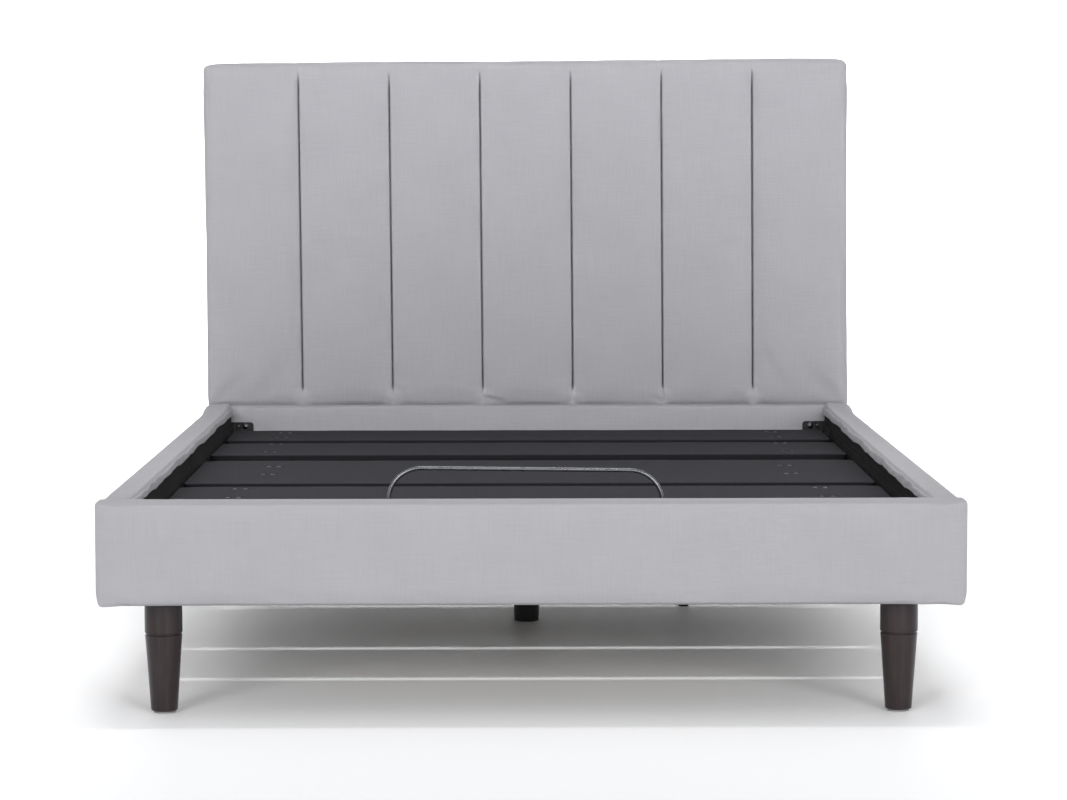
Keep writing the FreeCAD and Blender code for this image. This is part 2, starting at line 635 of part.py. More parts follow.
def control_box():
    """Motor control box under the seat, with a recessed power inlet."""
    y = CROSS_Y["fore_mid"] + BASE_TUBE_W / 2
    body = block(250, 430, y - 50, y + 50, BASE_BOTTOM - 42, BASE_BOTTOM)
    body = body.makeFillet(4.0, [edge for edge in body.Edges if near(edge.CenterOfMass.z,
                                                                     BASE_BOTTOM - 21)])
    inlet = block(418, 431, y - 12, y + 12, BASE_BOTTOM - 30, BASE_BOTTOM - 14)
    return body.cut(inlet)


# ---------------------------------------------------------------- actuators

def actuator_body(act, tube_end, scale, hang_from):
    """Housing, motor and guide tube, hung from a cross tube by two plates and a pin."""
    x, y, z, way = act["x"], act["rear_y"], act["z"], act["way"]
    side = -1.0 if x < 0 else 1.0
    rod_r = 10.0 * scale
    eye = block(x - 10, x + 10, y - way * 10, y + way * 24, z - 10, z + 10)
    gearbox = block(x - 25 * scale, x + 25 * scale, y + way * 22, y + way * 82, z - 23 * scale,
                    z + 23 * scale)
    motor = rod_x(x + side * 20, x + side * (25 * scale + 80), y + way * 52, z, 24 * scale)
    tube = rod_y(x, y + way * 80, y + way * tube_end, z, 17 * scale)
    housing = eye.fuse([gearbox, motor, tube]).removeSplitter()
    housing = housing.cut(rod_y(x, y + way * 90, y + way * (tube_end + 1), z, rod_r + 0.06))
    pin = rod_x(x - 17, x + 17, y, z, PIN_R)
    housing = housing.cut(pin)
    plates = []
    for low in (x - 15, x + 11):
        plate = block(low, low + 4, y - 12, y + 12, z - 12, hang_from)
        plates.append(plate.cut(pin))
    return group([housing, pin] + plates)


def actuator_rod(act, tail, scale):
    """Sliding rod with a forked end and the pin that drives the lever."""
    x, y, z, way = act["x"], act["pin_y"], act["z"], act["way"]
    rod = rod_y(x, act["rear_y"] + way * tail, y - way * 30, z, 10.0 * scale)
    fork = block(x - EAR_OUT, x + EAR_OUT, y - way * 38, y + way * 11, z - 11, z + 11)
    fork = fork.cut(block(x - EAR_IN, x + EAR_IN, y - way * 29, y + way * 12, z - 12, z + 12))
    rod = rod.cut(block(x - EAR_IN, x + EAR_IN, y - way * 29, y, z - 12, z + 12))
    pin = rod_x(x - EAR_OUT - 3, x + EAR_OUT + 3, y, z, PIN_R)
    return group([fork.fuse(rod).removeSplitter().cut(pin), pin])


def build_parts():
    """Every node's name and shape."""
    right_core = side_rail_core()
    right_padding = side_rail_upholstery()
    right_bracket = corner_bracket()
    right_tube = base_side_tube()
    parts = {
        "headboard_core": headboard_core(),
        "headboard_upholstery": headboard_upholstery(),
        "headboard_dust_cover": headboard_dust_cover(),
        "front_board_core": front_board_core(),
        "front_board_upholstery": front_board_upholstery(),
        "side_rail_core_right": right_core,
        "side_rail_core_left": mirror_x(right_core),
        "side_rail_upholstery_right": right_padding,
        "side_rail_upholstery_left": mirror_x(right_padding),
        "rail_linings": rail_linings(),
        "head_rail_core": head_rail_core(),
        "head_rail_upholstery": head_rail_upholstery(),
        "corner_blocks": corner_blocks(),
        "leg_fixings": leg_fixings(),
        "leg_glides": leg_glides(),
        "rail_ledges": rail_ledges(),
        "corner_bracket_right": right_bracket,
        "corner_bracket_left": mirror_x(right_bracket),
        "bracket_bolts": bracket_bolts(),
        "base_side_tube_right": right_tube,
        "base_side_tube_left": mirror_x(right_tube),
        "base_cross_tubes": base_cross_tubes(),
        "support_legs": support_legs(),
        "rubber_pads": rubber_pads(),
        "control_box": control_box(),
        "pillow_frame": pillow_frame(),
        "back_frame": back_frame(),
        "seat_frame": seat_frame(),
        "thigh_frame": thigh_frame(),
        "calf_frame": calf_frame(),
        "seat_hinge_pins": group(hinge_pins(BACK_HINGE_Y) + hinge_pins(THIGH_HINGE_Y)),
        "pillow_hinge_pins": group(hinge_pins(PILLOW_HINGE_Y)),
        "knee_hinge_pins": group(hinge_pins(KNEE_HINGE_Y)),
        "retainer_bar": retainer_bar(),
        "foot_rollers": foot_rollers(),
        "back_actuator": actuator_body(BACK_ACT, 235.0, 1.0, BASE_BOTTOM),
        "back_actuator_rod": actuator_rod(BACK_ACT, 110.0, 1.0),
        "leg_actuator": actuator_body(LEG_ACT, 310.0, 1.0, BASE_BOTTOM),
        "leg_actuator_rod": actuator_rod(LEG_ACT, 200.0, 1.0),
        "pillow_actuator": actuator_body(PILLOW_ACT, 180.0, 0.8, FRAME_BOTTOM),
        "pillow_actuator_rod": actuator_rod(PILLOW_ACT, 110.0, 0.8),
    }
    corner_names = ("front_left", "front_right", "rear_left", "rear_right")
    for corner, (x, y) in zip(corner_names, leg_places()):
        parts["leg_" + corner] = wooden_leg(x, y)
    for name in SECTIONS:
        parts[name + "_board"] = section_board(name)
        parts[name + "_cover"] = section_cover(name)
        parts[name + "_screws"] = section_screws(name)
    return parts


def main():
    os.makedirs("parts", exist_ok=True)
    for name, shape in build_parts().items():
        if not shape.isValid():
            print("invalid shape:", name)
        shape.exportStep("parts/" + name + ".step")
        print(name, len(shape.Solids), round(shape.Volume / 1000.0, 1), "cm3")


main()
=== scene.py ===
"""Looks of the upholstered bed with its adjustable base: soft goods, materials, light and camera."""
import json
import math

import bmesh
import bpy
import numpy as np
from mathutils import Euler, Matrix, Vector


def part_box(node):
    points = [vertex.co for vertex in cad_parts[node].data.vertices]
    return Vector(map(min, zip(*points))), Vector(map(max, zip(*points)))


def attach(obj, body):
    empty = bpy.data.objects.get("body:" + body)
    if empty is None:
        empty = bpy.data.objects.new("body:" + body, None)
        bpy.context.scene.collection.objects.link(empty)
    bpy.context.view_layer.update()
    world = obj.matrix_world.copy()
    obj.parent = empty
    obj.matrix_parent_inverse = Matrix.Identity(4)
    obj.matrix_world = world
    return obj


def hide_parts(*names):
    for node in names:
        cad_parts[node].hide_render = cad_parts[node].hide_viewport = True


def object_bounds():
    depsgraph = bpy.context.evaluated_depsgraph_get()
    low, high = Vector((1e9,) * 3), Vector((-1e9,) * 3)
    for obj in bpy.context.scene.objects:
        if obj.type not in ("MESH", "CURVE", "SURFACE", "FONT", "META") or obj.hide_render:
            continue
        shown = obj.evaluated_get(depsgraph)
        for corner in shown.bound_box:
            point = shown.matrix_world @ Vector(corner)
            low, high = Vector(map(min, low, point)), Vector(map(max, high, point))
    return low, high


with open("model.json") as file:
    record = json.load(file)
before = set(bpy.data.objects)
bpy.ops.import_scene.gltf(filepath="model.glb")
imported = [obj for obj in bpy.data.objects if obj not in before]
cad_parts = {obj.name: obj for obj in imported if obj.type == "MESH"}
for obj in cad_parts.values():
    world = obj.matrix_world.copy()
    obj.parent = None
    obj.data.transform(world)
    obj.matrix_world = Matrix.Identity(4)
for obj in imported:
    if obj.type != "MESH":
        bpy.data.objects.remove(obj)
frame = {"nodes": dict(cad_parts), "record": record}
cad_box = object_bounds()

MM = 0.001
FOOT_END = cad_box[0][1]
RAIL_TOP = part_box("front_board_upholstery")[1][2]


# ---------------------------------------------------------------- node helpers

class Nodes:
    """A short way to write one material's node graph."""

    def __init__(self, name, roughness, specular=0.5, metallic=0.0):
        self.material = bpy.data.materials.new(name)
        self.material.use_nodes = True
        self.tree = self.material.node_tree
        self.shader = self.tree.nodes["Principled BSDF"]
        self.shader.inputs["Roughness"].default_value = roughness
        self.shader.inputs["Specular IOR Level"].default_value = specular
        self.shader.inputs["Metallic"].default_value = metallic

    def add(self, kind, **settings):
        node = self.tree.nodes.new(kind)
        for key, value in settings.items():
            setattr(node, key, value)
        return node

    def link(self, source, target):
        self.tree.links.new(source, target)

    def value(self, socket, source):
        """Connects a socket, or sets it when given a plain number or colour."""
        if isinstance(source, bpy.types.NodeSocket):
            self.link(source, socket)
        else:
            socket.default_value = source

    def math(self, operation, a, b=0.0):
        node = self.add("ShaderNodeMath", operation=operation)
        self.value(node.inputs[0], a)
        self.value(node.inputs[1], b)
        return node.outputs[0]

    def plus(self, a, b):
        return self.math("ADD", a, b)

    def times(self, a, b):
        return self.math("MULTIPLY", a, b)

    def place(self, kind="Object"):
        """A texture coordinate: Object, UV or Normal."""
        return self.add("ShaderNodeTexCoord").outputs[kind]

    def split(self, vector):
        node = self.add("ShaderNodeSeparateXYZ")
        self.link(vector, node.inputs[0])
        return node.outputs

    def scaled(self, vector, scale):
        node = self.add("ShaderNodeVectorMath", operation="MULTIPLY")
        self.value(node.inputs[0], vector)
        node.inputs[1].default_value = scale
        return node.outputs[0]

    def noise(self, vector, scale, detail=2.0, rough=0.5):
        node = self.add("ShaderNodeTexNoise")
        self.link(vector, node.inputs["Vector"])
        node.inputs["Scale"].default_value = scale
        node.inputs["Detail"].default_value = detail
        node.inputs["Roughness"].default_value = rough
        return node.outputs["Fac"]

    def ramp(self, source, stops):
        """A colour ramp from (position, colour) pairs."""
        node = self.add("ShaderNodeValToRGB")
        self.link(source, node.inputs[0])
        elements = node.color_ramp.elements
        while len(elements) < len(stops):
            elements.new(0.5)
        for element, (position, colour) in zip(elements, stops):
            element.position = position
            element.color = tuple(colour) + (1.0,)
        return node.outputs["Color"]

    def tint(self, colour, factor):
        """A plain colour made lighter or darker by a factor socket."""
        node = self.add("ShaderNodeMix", data_type="RGBA", blend_type="MULTIPLY")
        node.inputs[0].default_value = 1.0
        node.inputs[6].default_value = tuple(colour) + (1.0,)
        self.link(factor, node.inputs[7])
        return node.outputs[2]

    def colour(self, source):
        self.value(self.shader.inputs["Base Color"], source)

    def roughness(self, source):
        self.value(self.shader.inputs["Roughness"], source)

    def bump(self, height, distance, strength=1.0):
        node = self.add("ShaderNodeBump")
        node.inputs["Strength"].default_value = strength
        node.inputs["Distance"].default_value = distance
        self.link(height, node.inputs["Height"])
        self.link(node.outputs["Normal"], self.shader.inputs["Normal"])


# ---------------------------------------------------------------- materials

WEAVE_DEPTH = 0.5 * MM
YARN_WIDTH = 2.2    # threads across one uneven stretch of yarn
YARN_DRAWN = 12.0   # uneven stretches in a metre of yarn
PATCHES = 0.10      # how much faint patches change the tint
PAINTED_SHADE_FULL = 0.35      # upward part of the normal at which the painted shade on upright faces is full
PAINTED_SHADE_GONE = 0.85        # and at which that painted shade has gone


def woven(name, colour, thread, contrast, slub, sheen, roughness=0.92, side=0.0):
    """Plain-weave cloth: crossing threads, uneven yarn, faint patches, and painted shade on upright
    faces.
    """
    m = Nodes(name, roughness, specular=0.12)
    m.shader.inputs["Sheen Weight"].default_value = sheen
    m.shader.inputs["Sheen Roughness"].default_value = 0.6
    uv = m.place("UV")
    u, v = m.split(uv)[:2]
    turns = 2 * math.pi / thread
    over = m.times(m.math("SINE", m.times(u, turns)), m.math("SINE", m.times(v, turns)))
    wide = 1 / (YARN_WIDTH * thread)
    weft = m.noise(m.scaled(uv, (wide, YARN_DRAWN, 1.0)), scale=1.0, detail=3.0)
    warp = m.noise(m.scaled(uv, (YARN_DRAWN, wide, 1.0)), scale=1.0, detail=3.0)
    yarn = m.plus(weft, warp)
    patch = m.noise(uv, scale=7.0, detail=3.0)
    grain = m.noise(uv, scale=420.0, detail=2.0)
    level = m.plus(m.times(over, contrast), m.times(yarn, slub))
    level = m.plus(level, m.times(patch, PATCHES))
    level = m.plus(level, m.times(grain, slub))
    level = m.plus(level, 1.0 - 1.5 * slub - 0.5 * PATCHES)
    # painted shade: the side share darkens faces that stand upright, as if they lay in shade
    if side:
        up = m.add("ShaderNodeMapRange", interpolation_type="SMOOTHSTEP")
        m.link(m.split(m.place("Normal"))[2], up.inputs["Value"])
        up.inputs["From Min"].default_value = PAINTED_SHADE_FULL
        up.inputs["From Max"].default_value = PAINTED_SHADE_GONE
        up.inputs["To Min"].default_value = 1.0 - side
        level = m.times(level, up.outputs["Result"])
    m.colour(m.tint(colour, level))
    m.bump(m.plus(m.times(over, 0.35), yarn), WEAVE_DEPTH, strength=0.8)
    return m.material


def pressed_cloth(name, colour):
    """Thin matt non-woven cloth with a pressed fibre texture."""
    m = Nodes(name, roughness=0.95, specular=0.2)
    fibres = m.noise(m.place(), scale=600.0, detail=3.0)
    patches = m.noise(m.place(), scale=14.0, detail=3.0)
    level = m.plus(m.times(fibres, 0.5), m.times(patches, 0.6))
    m.colour(m.tint(colour, m.plus(level, 0.45)))
    m.bump(fibres, 0.4 * MM, strength=0.6)
    return m.material


def dark_wood(name):
    """Espresso-stained wood with fine upright grain under satin lacquer."""
    m = Nodes(name, roughness=0.34, specular=0.34)
    m.shader.inputs["Coat Weight"].default_value = 0.06
    m.shader.inputs["Coat Roughness"].default_value = 0.18
    grain = m.noise(m.scaled(m.place(), (1.0, 1.0, 0.06)), scale=210.0, detail=6.0, rough=0.65)
    bands = m.noise(m.scaled(m.place(), (1.0, 1.0, 0.12)), scale=38.0, detail=3.0)
    mixed = m.plus(m.times(grain, 0.6), m.times(bands, 0.4))
    m.colour(m.ramp(mixed, [(0.30, (0.0085, 0.0046, 0.0052)),
                            (0.52, (0.018, 0.0105, 0.0115)),
                            (0.72, (0.033, 0.0195, 0.0205))]))
    m.bump(grain, 0.3 * MM, strength=0.35)
    return m.material


def raw_wood(name):
    """Unfinished plywood and pine with long grain."""
    m = Nodes(name, roughness=0.75)
    grain = m.noise(m.scaled(m.place(), (0.05, 1.0, 1.0)), scale=150.0, detail=5.0, rough=0.6)
    bands = m.noise(m.scaled(m.place(), (0.08, 1.0, 1.0)), scale=22.0, detail=3.0)
    mixed = m.plus(m.times(grain, 0.5), m.times(bands, 0.5))
    m.colour(m.ramp(mixed, [(0.3, (0.20, 0.165, 0.125)),
                            (0.5, (0.30, 0.255, 0.20)),
                            (0.7, (0.39, 0.34, 0.275))]))
    m.bump(grain, 0.5 * MM, strength=0.4)
    return m.material


def painted(name, colour, roughness):
    """Powder-coated steel with a fine orange-peel surface and slightly uneven gloss."""
    m = Nodes(name, roughness, specular=0.25)
    peel = m.noise(m.place(), scale=900.0, detail=2.0)
    wear = m.noise(m.place(), scale=30.0, detail=4.0)
    m.colour(m.tint(colour, m.plus(m.times(wear, 0.5), 0.75)))
    m.roughness(m.plus(m.times(wear, 0.22), roughness - 0.1))
    m.bump(peel, 0.2 * MM, strength=0.5)
    return m.material


def bare_metal(name, colour, roughness):
    """Plated or oxidised steel with fine turning marks and dull spots."""
    m = Nodes(name, roughness, metallic=1.0)
    marks = m.noise(m.scaled(m.place(), (1.0, 1.0, 6.0)), scale=500.0, detail=3.0)
    spots = m.noise(m.place(), scale=60.0, detail=3.0)
    m.colour(m.tint(colour, m.plus(m.times(spots, 0.4), 0.8)))
    m.roughness(m.plus(m.times(spots, 0.3), roughness - 0.1))
    m.bump(marks, 0.1 * MM, strength=0.4)
    return m.material


def moulded(name, colour, roughness):
    """Moulded plastic or rubber with a fine spark-eroded grain."""
    m = Nodes(name, roughness, specular=0.4)
    grain = m.noise(m.place(), scale=1400.0, detail=2.0)
    patches = m.noise(m.place(), scale=25.0, detail=2.0)
    m.colour(m.tint(colour, m.plus(m.times(patches, 0.3), 0.85)))
    m.bump(grain, 0.15 * MM, strength=0.6)
    return m.material


LIGHT_FABRIC = woven("light_grey_weave", (0.309, 0.306, 0.322), thread=1.5 * MM, contrast=0.04,
                     slub=0.11, sheen=0.10)
# side=0.62 paints shade on the covers' upright edges and skirts, so they look darker than the tops
DECK_FABRIC = woven("charcoal_weave", (0.0305, 0.0302, 0.0350), thread=1.4 * MM, contrast=0.06,
                    slub=0.18, sheen=0.0, roughness=0.95, side=0.62)
SLOT_MATERIALS = {
    "light_fabric": LIGHT_FABRIC,
    "deck_fabric": DECK_FABRIC,
    "dust_cloth": pressed_cloth("black_lining", (0.012, 0.012, 0.013)),
    "leg_wood": dark_wood("espresso_wood"),
    "board_wood": raw_wood("plywood"),
    "frame_steel": painted("black_powder_coat", (0.012, 0.012, 0.013), roughness=0.42),
    "bar_steel": bare_metal("satin_bar_steel", (0.13, 0.133, 0.142), roughness=0.24),
    "zinc_steel": bare_metal("zinc_plate", (0.72, 0.72, 0.74), roughness=0.30),
    "black_oxide": bare_metal("black_oxide", (0.095, 0.095, 0.104), roughness=0.26),
    "black_plastic": moulded("black_plastic", (0.018, 0.018, 0.019), roughness=0.5),
    "grey_nylon": moulded("grey_nylon", (0.22, 0.22, 0.22), roughness=0.45),
    "rubber": moulded("black_rubber", (0.014, 0.014, 0.014), roughness=0.8),
}


def dress_nodes():
    """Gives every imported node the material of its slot."""
    slot_of = {part["node"]: part["material_slot"] for part in frame["record"]["subparts"]}
    for name, obj in frame["nodes"].items():
        material = SLOT_MATERIALS[slot_of[name]]
        if not obj.material_slots:
            obj.data.materials.append(material)
        for place in obj.material_slots:
            place.material = material


# ---------------------------------------------------------------- mesh helpers

def new_object(name, vertices, faces):
    """A linked, smooth-shaded mesh object."""
    mesh = bpy.data.meshes.new(name)
    mesh.from_pydata([tuple(v) for v in vertices], [], [tuple(f) for f in faces])
    mesh.validate()
    mesh.update()
    obj = bpy.data.objects.new(name, mesh)
    bpy.context.scene.collection.objects.link(obj)
    mesh.polygons.foreach_set("use_smooth", [True] * len(mesh.polygons))
    return obj


def corners_of(node):
    """A node's lowest and highest corner."""
    low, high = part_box(node)
    return Vector(low), Vector(high)


def points_of(mesh):
    """A mesh's vertices as rows of X, Y and Z."""
    return np.array([v.co for v in mesh.vertices])


def move_points(obj, points):
    """Puts an object's vertices at new places."""
    obj.data.vertices.foreach_set("co", points.ravel())
    obj.data.update()


def lay_uv(obj):
    """UVs in metres by the side that each face looks to, so that the weave keeps its size."""
    mesh = obj.data
    layer = mesh.uv_layers.new(name="weave")
    mesh.uv_layers.active = layer
    corners = np.empty(len(mesh.loops), dtype=int)
    mesh.loops.foreach_get("vertex_index", corners)
    normals = np.empty(len(mesh.polygons) * 3)
    mesh.polygons.foreach_get("normal", normals)
    counts = np.empty(len(mesh.polygons), dtype=int)
    mesh.polygons.foreach_get("loop_total", counts)
    side = np.repeat(np.abs(normals.reshape(-1, 3)).argmax(axis=1), counts)
    place = points_of(mesh)[corners]
    first = np.where(side == 0, place[:, 1], place[:, 0])
    second = np.where(side == 2, place[:, 1], place[:, 2])
    layer.data.foreach_set("uv", np.stack([first, second], axis=1).ravel())


def spread(low, high, step, ends):
    """Places along one side: close together near both ends, evenly spaced between them."""
    count = max(1, round((high - low - 2 * ends[-1]) / step))
    middle = np.linspace(low + ends[-1], high - ends[-1], count + 1)
    near = [low + e for e in ends[:-1]]
    far = [high - e for e in reversed(ends[:-1])]
    return np.array(near + list(middle) + far)


def shell(xs, ys, zs):
    """Vertices and faces of a closed box whose six sides are grids on the given places."""
    places = (xs, ys, zs)
    count = [len(values) - 1 for values in places]
    index = {}
    vertices = []
    faces = []

    def vertex(axes, steps):
        key = tuple(step for axis, step in sorted(zip(axes, steps)))
        if key not in index:
            index[key] = len(vertices)
            vertices.append([values[step] for values, step in zip(places, key)])
        return index[key]

    for first, second, across, turned in ((0, 1, 2, False), (0, 2, 1, True), (1, 2, 0, False)):
        for p in range(count[first]):
            for q in range(count[second]):
                for side in (0, count[across]):
                    quad = [vertex((first, second, across), (a, b, side))
                            for a, b in ((p, q), (p + 1, q), (p + 1, q + 1), (p, q + 1))]
                    faces.append(quad[::-1] if (side > 0) == turned else quad)
    return np.array(vertices), faces


def rounded(points, low, high, radius):
    """Pulls a box's vertices onto rounded edges and corners of one radius."""
    low = np.array(low)
    high = np.array(high)
    inner = np.clip(points, low + radius, high - radius)
    out = points - inner
    reach = np.abs(out).max(axis=1)
    length = np.linalg.norm(out, axis=1)
    length[length == 0] = 1.0
    return inner + out * (reach / length)[:, None]


def fade(distance, width):
    """0 below 0, 1 past the width, smooth between."""
    t = np.clip(distance / width, 0.0, 1.0)
    return t * t * (3 - 2 * t)


def bell(distance, half, power=2):
    """1 at 0, falling smoothly away on both sides."""
    return np.exp(-(distance / half) ** power)


def settle_cloth(obj, held, pressure, slack, cap, frames=20, bend=0.6, stiff=15.0):
    """Inflates a piece as cloth held at some vertices, then keeps the result, capped, on the mesh."""
    start = points_of(obj.data)
    group = obj.vertex_groups.new(name="held")
    held = np.round(held, 2)
    for weight in sorted(set(held)):
        if weight > 0:
            group.add([int(i) for i in np.nonzero(held == weight)[0]], float(weight), "REPLACE")
    cloth = obj.modifiers.new("Cloth", "CLOTH")
    s = cloth.settings
    s.quality = 5
    s.mass = 0.25
    s.tension_stiffness = stiff
    s.compression_stiffness = stiff
    s.shear_stiffness = stiff * 0.4
    s.bending_stiffness = bend
    s.air_damping = 2.0
    s.vertex_group_mass = "held"
    s.use_pressure = True
    s.uniform_pressure_force = pressure
    s.shrink_min = -slack
    s.effector_weights.gravity = 0.0
    cloth.collision_settings.use_collision = False
    cloth.point_cache.frame_start = 1
    cloth.point_cache.frame_end = frames
    scene = bpy.context.scene
    for moment in range(1, frames + 1):
        scene.frame_set(moment)
    settled = obj.evaluated_get(bpy.context.evaluated_depsgraph_get())
    step = points_of(settled.to_mesh()) - start
    settled.to_mesh_clear()
    obj.modifiers.remove(cloth)
    obj.vertex_groups.remove(group)
    length = np.linalg.norm(step, axis=1)
    length[length == 0] = 1.0
    step *= (np.minimum(length, cap) / length)[:, None]
    move_points(obj, start + step)
    scene.frame_set(1)


def finish_fabric(obj, node, slot, body, smooth=True):
    """Smooths a soft piece, lays its weave, and declares what it replaces and rides on."""
    if smooth:
        halving = obj.modifiers.new("Smooth", "SUBSURF")
        halving.levels = 1
        graph = bpy.context.evaluated_depsgraph_get()
        mesh = bpy.data.meshes.new_from_object(obj.evaluated_get(graph))
        obj.modifiers.remove(halving)
        obj.data = mesh
    lay_uv(obj)
    obj.data.materials.clear()
    obj.data.materials.append(SLOT_MATERIALS[slot])
    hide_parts(node)
    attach(obj, body)


def join_mesh(obj, other):
    """Adds another piece's mesh to the first."""
    both = bmesh.new()
    both.from_mesh(obj.data)
    both.from_mesh(other.data)
    both.to_mesh(obj.data)
    both.free()
    bpy.data.objects.remove(other)


# ---------------------------------------------------------------- headboard

CHANNELS = 7
CHANNEL_PITCH = 234.5 * MM
SEAM_TOP_GAP = 56 * MM
SEAM_FOOT_GAP = 42 * MM
SEAM_DEPTH = 22 * MM
SEAM_HALF = 1.35 * MM
SEAM_SPACING = [0.0, 0.8 * MM, 1.7 * MM, 2.9 * MM, 5.5 * MM, 11 * MM, 21 * MM]
SLIT_FOOT = (4 * MM, 10 * MM)        # reach below a seam's lower end, and the fade from there
SLIT_TOP = (34 * MM, 58 * MM)        # reach above its upper end, and the fade
VALLEY_DEPTH = 3.2 * MM
VALLEY_HALF = 24 * MM
VALLEY_FOOT = (25 * MM, 30 * MM)
VALLEY_TOP = (8 * MM, 36 * MM)       # gap to the pad's top, and the fade
FRONT_DEPTH = 30 * MM                # what lies deeper in the pad isn't shaped
FRONT_FADE = 10 * MM
TUCK_DEPTH = 17 * MM
TUCK_ABOVE_SEAM = 4 * MM
TUCK_LEFT_OUT = 0.92                 # share of the tuck that is missing right below a seam
TUCK_GAP_HALF = 19 * MM
PINCH_HEIGHT = 4 * MM
PINCH_HALF = (13 * MM, 15 * MM)      # across, up
PINCH_ABOVE_RAIL = 20 * MM
TOP_EASE = 30 * MM
TOP_WAVER = 0.9 * MM
TOP_DIP = 0.8 * MM
TOP_DIP_HALF = 50 * MM
HELD_SEAM = 5 * MM
HELD_SEAM_DEPTH = 20 * MM
HELD_PAST_SEAM = (6 * MM, 8 * MM)    # below its lower end, above its upper end
HELD_BACK = 22 * MM
HELD_FOOT = 16 * MM
HELD_FADE = 12 * MM
COLUMN_STEP = 11 * MM
DEPTH_STEP = 16 * MM
DEPTH_SPACING = [0.0, 7 * MM, 15 * MM, 24 * MM]
HIDDEN_STEP = 26 * MM
PLAIN_STEP = 13 * MM
FINE_STEP = 5 * MM
ROWS_BELOW_RAIL = -10 * MM           # hidden rows end here, from the rail's top
FOOT_ROWS = (-4 * MM, 20 * MM)       # fine rows, from the rail's top to past the seams' lower ends
CHANNEL_ROWS = (22 * MM, -16 * MM)   # plain rows, from the seams' lower ends to their upper ends
ROWS_ABOVE_CHANNEL = -11 * MM        # fine rows again, from the seams' upper ends
TOP_ROWS = (-19 * MM, -12 * MM, -5 * MM, 0.0)
HEADBOARD_EDGE = 20 * MM
LEAN = 0.0070
LEAN_EASE = 200 * MM
# seam, start and end as (across, up), height, half width
FOOT_FOLDS = (
    (2, (2 * MM, -10 * MM), (30 * MM, 14 * MM), 5 * MM, 7 * MM),
    (2, (7 * MM, -20 * MM), (52 * MM, 6 * MM), -8 * MM, 4.5 * MM),
    (4, (2 * MM, -2 * MM), (20 * MM, 2 * MM), 6 * MM, 5 * MM),
    (4, (-26 * MM, -24 * MM), (-2 * MM, 8 * MM), -4 * MM, 5 * MM),
)


class Pad:
    """The headboard pad's size, its seams, and where its points lie before they are shaped."""

    def __init__(self):
        self.low, self.high = corners_of("headboard_upholstery")
        self.seam_low = RAIL_TOP + SEAM_FOOT_GAP
        self.seam_high = self.high.z - SEAM_TOP_GAP
        middle = (self.low.x + self.high.x) / 2
        self.seams = [middle + (seam - CHANNELS / 2) * CHANNEL_PITCH for seam in range(1, CHANNELS)]

    def shell(self):
        """The plain rounded pad, as points and faces."""
        depths = spread(self.low.y, self.high.y, DEPTH_STEP, DEPTH_SPACING)
        points, faces = shell(self.columns(), depths, self.rows())
        points = rounded(points, self.low, self.high, HEADBOARD_EDGE)
        self.x, self.y, self.z = points.T.copy()
        self.off = np.abs(self.x[:, None] - np.array(self.seams)).min(axis=1)
        self.front = np.clip((self.low.y + FRONT_DEPTH - self.y) / FRONT_FADE, 0.0, 1.0)
        return points, faces

    def columns(self):
        """Places across, close together at the seams and the sides."""
        stops = [self.low.x] + self.seams + [self.high.x]
        places = []
        for left, right in zip(stops[:-1], stops[1:]):
            places += list(spread(left, right, COLUMN_STEP, SEAM_SPACING))[:-1]
        return np.array(places + [self.high.x])

    def rows(self):
        """Heights, close together above the rail, at the seams' ends and at the top edge."""
        low, high = self.seam_low, self.seam_high
        rows = list(spread(self.low.z, RAIL_TOP + ROWS_BELOW_RAIL, HIDDEN_STEP, [0.0, 8 * MM, 20 * MM]))
        rows += list(np.arange(RAIL_TOP + FOOT_ROWS[0], low + FOOT_ROWS[1], FINE_STEP))
        rows += list(spread(low + CHANNEL_ROWS[0], high + CHANNEL_ROWS[1], PLAIN_STEP, [0.0, 4 * MM]))
        rows += list(np.arange(high + ROWS_ABOVE_CHANNEL, self.high.z - HEADBOARD_EDGE, FINE_STEP))
        return np.array(rows + [self.high.z + row for row in TOP_ROWS])

    def held(self, points):
        """How firmly each point is held: at the seams, the back and the tucked-in foot."""
        on_seam = (self.off < HELD_SEAM) & (self.y < self.low.y + HELD_SEAM_DEPTH)
        on_seam &= self.z > self.seam_low - HELD_PAST_SEAM[0]
        on_seam &= self.z < self.seam_high + HELD_PAST_SEAM[1]
        back = np.clip((points[:, 1] - (self.high.y - HELD_BACK)) / HELD_FADE, 0.0, 1.0)
        foot = np.clip((RAIL_TOP + HELD_FOOT - self.z) / HELD_FADE, 0.0, 1.0)
        return np.maximum.reduce([on_seam * 1.0, back, foot])


def press_seams(points, pad):
    """Draws the front in at each seam: a narrow slit along a wide shallow valley."""
    along = fade(pad.z - pad.seam_low + SLIT_FOOT[0], SLIT_FOOT[1])
    along *= fade(pad.seam_high + SLIT_TOP[0] - pad.z, SLIT_TOP[1])
    slit = SEAM_DEPTH * bell(pad.off, SEAM_HALF, 1.6)
    wide = fade(pad.z - pad.seam_low + VALLEY_FOOT[0], VALLEY_FOOT[1])
    wide *= fade(pad.high.z - VALLEY_TOP[0] - pad.z, VALLEY_TOP[1])
    valley = VALLEY_DEPTH * bell(pad.off, VALLEY_HALF, 1.4)
    points[:, 1] += (slit * along + valley * wide) * pad.front


def fold(points, start, end, height, width):
    """How far a small straight fold between two (x, z) places lifts each point."""
    along = np.array(end) - np.array(start)
    length = np.linalg.norm(along)
    along /= length
    rel = points[:, [0, 2]] - np.array(start)
    s = rel @ along
    off = rel @ np.array([-along[1], along[0]])
    ends = fade(s + 0.3 * width, 0.6 * width) * fade(length + 0.5 * width - s, width)
    return height * ends * bell(off, width)


